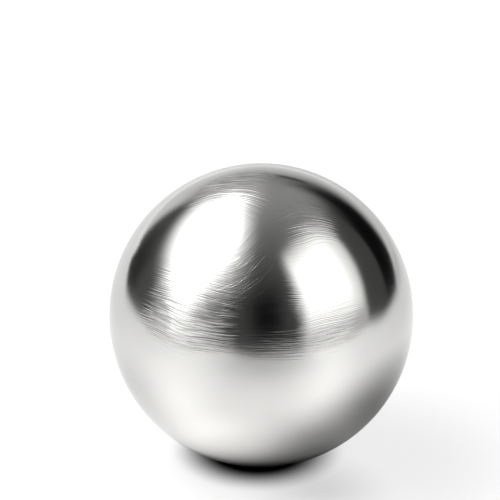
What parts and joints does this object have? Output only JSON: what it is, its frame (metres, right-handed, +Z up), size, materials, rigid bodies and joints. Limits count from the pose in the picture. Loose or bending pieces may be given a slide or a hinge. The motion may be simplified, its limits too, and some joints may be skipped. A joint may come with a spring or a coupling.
{
  "type": "steel ball",
  "caption": "Solid steel ball with a satin, finely brushed surface, a true sphere with no holes, flats or seams.",
  "frame": {"origin": "centre of the ball", "axes": "+Z up, away from the point that the ball lies on; all axes are alike on a sphere"},
  "size_m": [0.03, 0.03, 0.03],
  "materials": {
    "brushed_steel": "satin steel with fine, slightly wavy brushing scratches"
  },
  "bodies": {
    "root": {"ball": "brushed_steel"}
  },
  "joints": []
}
